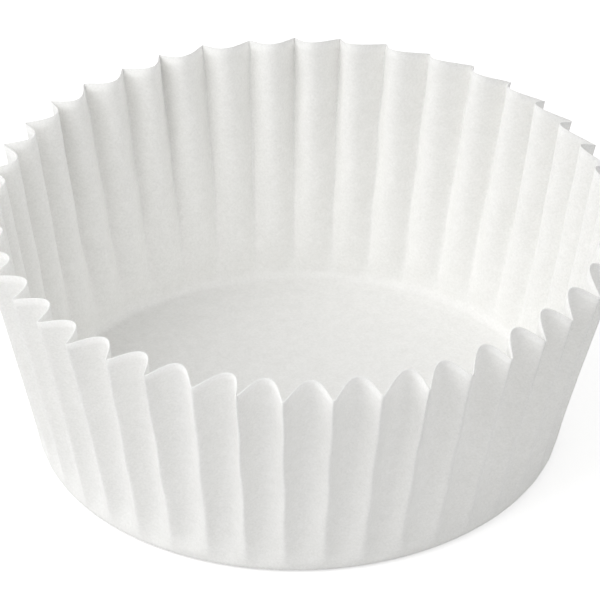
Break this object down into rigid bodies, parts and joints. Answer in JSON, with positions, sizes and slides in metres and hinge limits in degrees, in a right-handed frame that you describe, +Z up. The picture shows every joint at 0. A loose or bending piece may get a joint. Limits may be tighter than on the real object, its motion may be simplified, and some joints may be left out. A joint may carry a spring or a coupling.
{
  "type": "cupcake liner",
  "caption": "Round fluted paper baking cup with a flat floor, a rounded corner and a flaring wall folded into even flutes.",
  "frame": {"origin": "middle of the flat floor's underside", "axes": "+Z up through the open mouth; -Y towards the camera of the picture"},
  "size_m": [0.0659, 0.066, 0.0265],
  "materials": {
    "paper": "matte white greaseproof paper"
  },
  "bodies": {
    "root": {"liner": "paper"}
  },
  "joints": []
}
